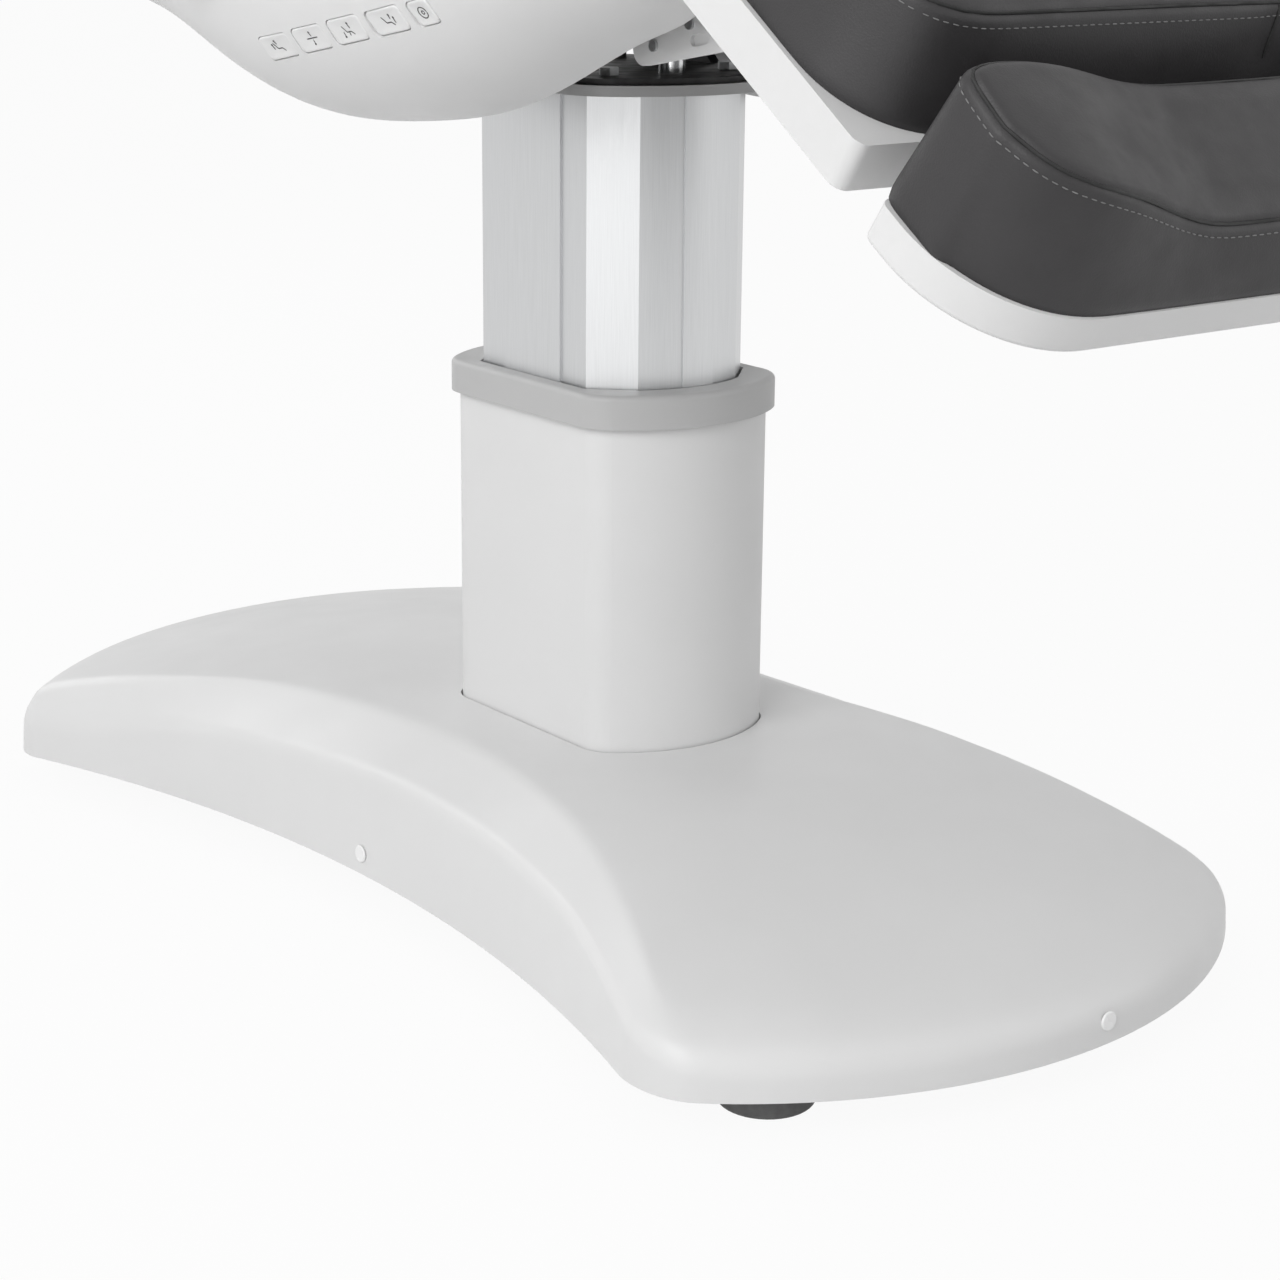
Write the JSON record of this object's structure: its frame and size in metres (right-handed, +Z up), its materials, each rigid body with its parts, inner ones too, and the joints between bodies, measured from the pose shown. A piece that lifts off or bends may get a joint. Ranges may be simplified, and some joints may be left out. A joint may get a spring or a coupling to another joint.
{
  "type": "electric beauty chair",
  "caption": "Electric treatment chair on a lifting column, with a tilting seat, leg rest with sliding foot rest, reclining back, headrest, swing-up armrests and side buttons.",
  "frame": {"origin": "on the floor under the column's axis, at the middle of the object's footprint", "axes": "+Z up; -Y towards the leg rest; +X to the sitter's left"},
  "size_m": [0.742, 1.3234, 1.3297],
  "materials": {
    "white_shell": "satin white moulding",
    "white_caps": "smooth white",
    "button_white": "fine matte",
    "upholstery": "grained dark grey",
    "grey_plastic": "matte grey",
    "column_aluminium": "satin anodised",
    "foot_rubber": "matte grey",
    "black_plastic": "matte black",
    "bright_steel": "ground and plated",
    "fastener_steel": "zinc plated",
    "dark_steel": "black powder coat"
  },
  "bodies": {
    "base": {"base_cover": "white_shell", "base_frame": "dark_steel", "levelling_feet": "foot_rubber", "cover_screw_caps": "white_caps", "outer_column": "white_shell", "column_ring": "grey_plastic", "glide_strips": "black_plastic", "lift_actuator": "black_plastic", "mains_inlet": "black_plastic"},
    "column": {"inner_column": "column_aluminium", "head_plate": "grey_plastic", "tilt_bracket": "dark_steel", "tilt_pins": "fastener_steel", "lift_rod": "bright_steel", "tilt_actuator": "black_plastic", "head_bolts": "fastener_steel"},
    "tilt_rod": {"tilt_rod": "bright_steel"},
    "seat": {"seat_frame": "dark_steel", "seat_shell": "white_shell", "seat_pad": "upholstery", "side_cover_right": "white_shell", "side_cover_left": "white_shell", "cover_bracket_right": "white_shell", "cover_bracket_left": "white_shell", "bracket_screws": "fastener_steel", "control_box": "black_plastic", "knee_pins": "fastener_steel", "back_pins": "fastener_steel", "leg_actuator": "black_plastic", "back_actuator": "black_plastic", "arm_pins": "fastener_steel"},
    "leg_rod": {"leg_rod": "bright_steel"},
    "back_rod": {"back_rod": "bright_steel"},
    "leg": {"leg_frame": "dark_steel", "leg_shell": "white_shell", "leg_pad": "upholstery"},
    "foot": {"foot_shell": "white_shell", "foot_pad": "upholstery", "foot_rods": "bright_steel"},
    "back": {"back_frame": "dark_steel", "back_shell": "white_shell", "back_pad": "upholstery"},
    "headrest": {"headrest_pad": "upholstery", "headrest_rods": "bright_steel"},
    "arm_right": {"arm_bar_right": "dark_steel", "arm_pad_right": "upholstery"},
    "arm_left": {"arm_bar_left": "dark_steel", "arm_pad_left": "upholstery"},
    "button_right_1": {"button_right_1": "button_white"},
    "button_right_2": {"button_right_2": "button_white"},
    "button_right_3": {"button_right_3": "button_white"},
    "button_right_4": {"button_right_4": "button_white"},
    "button_right_5": {"button_right_5": "button_white"},
    "button_left_1": {"button_left_1": "button_white"},
    "button_left_2": {"button_left_2": "button_white"},
    "button_left_3": {"button_left_3": "button_white"},
    "button_left_4": {"button_left_4": "button_white"},
    "button_left_5": {"button_left_5": "button_white"}
  },
  "joints": [
    {"name": "column_lift", "type": "slide", "parent": "base", "child": "column", "axis": [0, 0, 1], "range_m": [-0.185, 0.06]},
    {"name": "seat_tilt", "type": "hinge", "parent": "column", "child": "seat", "pos_m": [0, 0.075, 0.64], "axis": [-1, 0, 0], "range_deg": [-10, 8]},
    {"name": "tilt_rod_slide", "type": "slide", "parent": "column", "child": "tilt_rod", "axis": [0, 0, 1], "range_m": [-0.03, 0.025]},
    {"name": "leg_lift", "type": "hinge", "parent": "seat", "child": "leg", "pos_m": [0, -0.31453, 0.77469], "axis": [1, 0, 0], "range_deg": [-45, 20]},
    {"name": "leg_rod_slide", "type": "slide", "parent": "seat", "child": "leg_rod", "axis": [0, 0.9848, -0.1736], "range_m": [-0.062, 0.03]},
    {"name": "foot_extend", "type": "slide", "parent": "leg", "child": "foot", "axis": [0, -0.8192, -0.5736], "range_m": [0, 0.13]},
    {"name": "back_recline", "type": "hinge", "parent": "seat", "child": "back", "pos_m": [0, 0.17787, 0.68786], "axis": [1, 0, 0], "range_deg": [-63, 12]},
    {"name": "back_rod_slide", "type": "slide", "parent": "seat", "child": "back_rod", "axis": [0, 0.9848, -0.1736], "range_m": [-0.09, 0.02]},
    {"name": "headrest_slide", "type": "slide", "parent": "back", "child": "headrest", "axis": [0, 0.6018, 0.7986], "range_m": [0, 0.08]},
    {"name": "arm_right_swing", "type": "hinge", "parent": "seat", "child": "arm_right", "pos_m": [-0.3, 0.10984, 0.84913], "axis": [-1, 0, 0], "range_deg": [0, 85]},
    {"name": "arm_left_swing", "type": "hinge", "parent": "seat", "child": "arm_left", "pos_m": [0.3, 0.10984, 0.84913], "axis": [-1, 0, 0], "range_deg": [0, 85]},
    {"name": "button_right_1_press", "type": "slide", "parent": "seat", "child": "button_right_1", "axis": [0.8184, 0.0998, 0.5659], "range_m": [0, 0.002], "stiffness_N_per_m": 500},
    {"name": "button_right_2_press", "type": "slide", "parent": "seat", "child": "button_right_2", "axis": [0.8409, 0.094, 0.533], "range_m": [0, 0.002], "stiffness_N_per_m": 500},
    {"name": "button_right_3_press", "type": "slide", "parent": "seat", "child": "button_right_3", "axis": [0.8493, 0.0917, 0.5199], "range_m": [0, 0.002], "stiffness_N_per_m": 500},
    {"name": "button_right_4_press", "type": "slide", "parent": "seat", "child": "button_right_4", "axis": [0.827, 0.0976, 0.5537], "range_m": [0, 0.002], "stiffness_N_per_m": 500},
    {"name": "button_right_5_press", "type": "slide", "parent": "seat", "child": "button_right_5", "axis": [0.7984, 0.1046, 0.593], "range_m": [0, 0.002], "stiffness_N_per_m": 500},
    {"name": "button_left_1_press", "type": "slide", "parent": "seat", "child": "button_left_1", "axis": [-0.8184, 0.0998, 0.5659], "range_m": [0, 0.002], "stiffness_N_per_m": 500},
    {"name": "button_left_2_press", "type": "slide", "parent": "seat", "child": "button_left_2", "axis": [-0.8409, 0.094, 0.533], "range_m": [0, 0.002], "stiffness_N_per_m": 500},
    {"name": "button_left_3_press", "type": "slide", "parent": "seat", "child": "button_left_3", "axis": [-0.8493, 0.0917, 0.5199], "range_m": [0, 0.002], "stiffness_N_per_m": 500},
    {"name": "button_left_4_press", "type": "slide", "parent": "seat", "child": "button_left_4", "axis": [-0.827, 0.0976, 0.5537], "range_m": [0, 0.002], "stiffness_N_per_m": 500},
    {"name": "button_left_5_press", "type": "slide", "parent": "seat", "child": "button_left_5", "axis": [-0.7984, 0.1046, 0.593], "range_m": [0, 0.002], "stiffness_N_per_m": 500}
  ],
  "couplings": [
    {"joint": "tilt_rod_slide", "follows": "seat_tilt", "m_per_rad": 0.144},
    {"joint": "leg_rod_slide", "follows": "leg_lift", "m_per_rad": 0.074},
    {"joint": "back_rod_slide", "follows": "back_recline", "m_per_rad": 0.078}
  ]
}
